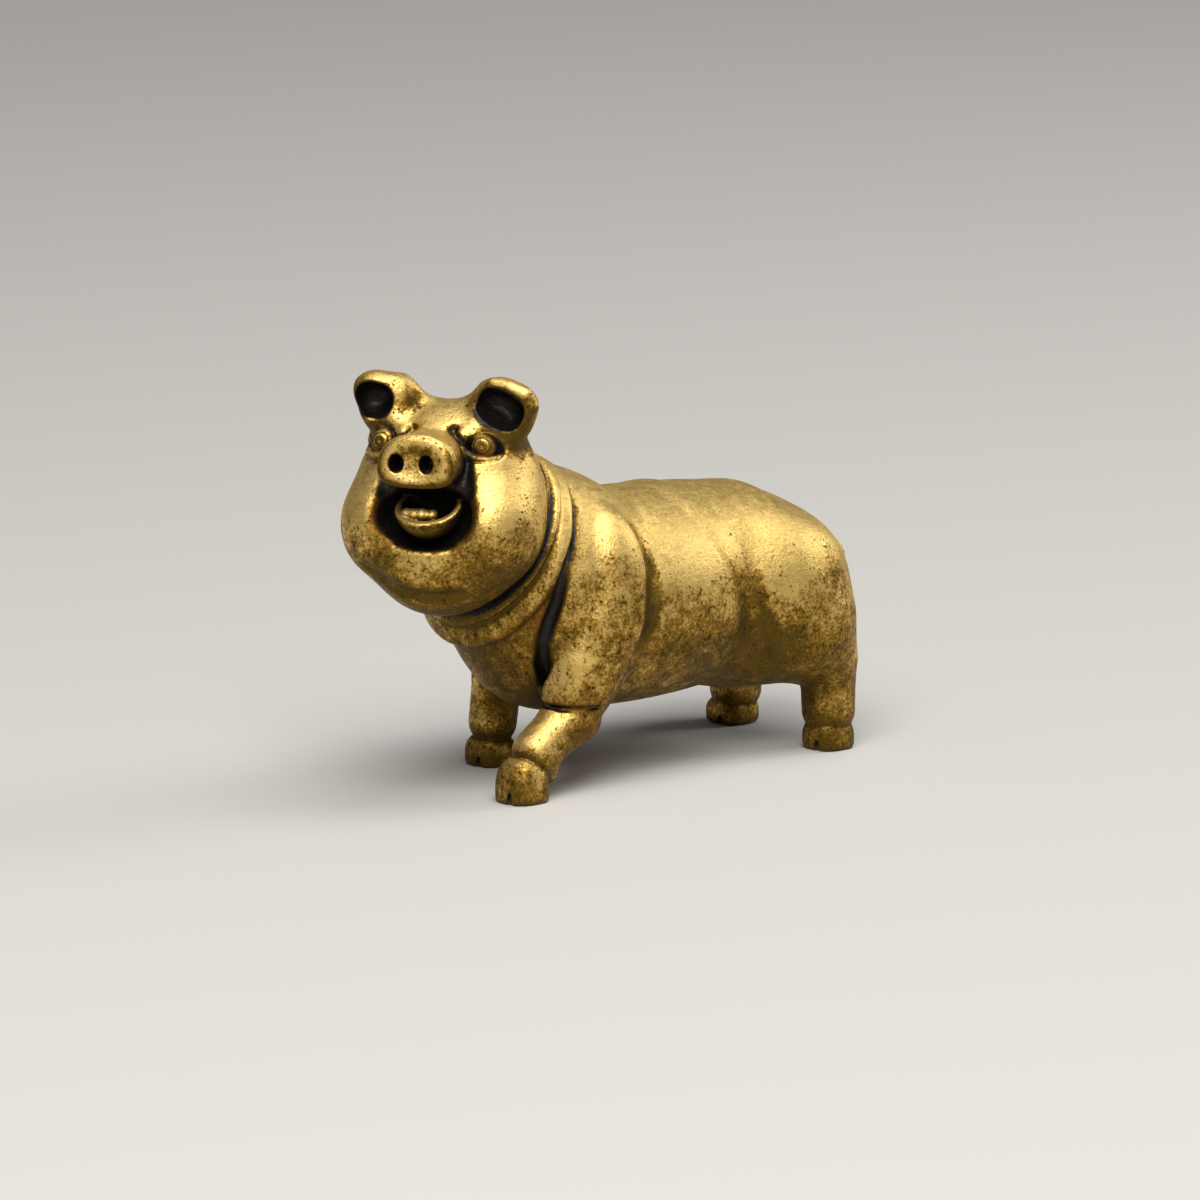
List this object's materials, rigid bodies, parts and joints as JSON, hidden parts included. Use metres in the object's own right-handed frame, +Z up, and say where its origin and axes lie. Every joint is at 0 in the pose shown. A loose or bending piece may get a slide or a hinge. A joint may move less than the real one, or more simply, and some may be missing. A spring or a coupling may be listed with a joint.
{
  "type": "pig figurine",
  "caption": "Small solid brass figurine of a stout pig, stepping forward with its head turned, for display on a shelf or desk.",
  "frame": {"origin": "on the ground plane under the hooves, at the middle of the figure's footprint box", "axes": "+Z up, -X towards the head, +X towards the tail, +Y towards the pig's right flank"},
  "size_m": [0.0413, 0.0164, 0.0286],
  "materials": {
    "body_brass": "antiqued brass, polished on the high forms and dark in the creases",
    "leg_brass": "antiqued brass, browner than the body, with dark creases at the joints",
    "hoof_brass": "antiqued brass, polished at the toe",
    "detail_brass": "antiqued brass, polished on rims and ridges, black in the hollows"
  },
  "bodies": {
    "root": {"head": "body_brass", "snout": "detail_brass", "lower_lip": "detail_brass", "lower_teeth": "detail_brass", "left_eye": "detail_brass", "right_eye": "detail_brass", "left_ear": "detail_brass", "right_ear": "detail_brass", "neck_roll": "body_brass", "shoulders": "body_brass", "barrel": "body_brass", "hindquarters": "body_brass", "tail": "detail_brass", "left_upper_foreleg": "leg_brass", "left_lower_foreleg": "leg_brass", "right_foreleg": "leg_brass", "left_thigh": "leg_brass", "right_thigh": "leg_brass", "left_hind_cannon": "leg_brass", "right_hind_cannon": "leg_brass", "left_fore_hoof": "hoof_brass", "right_fore_hoof": "hoof_brass", "left_hind_hoof": "hoof_brass", "right_hind_hoof": "hoof_brass"}
  },
  "joints": []
}
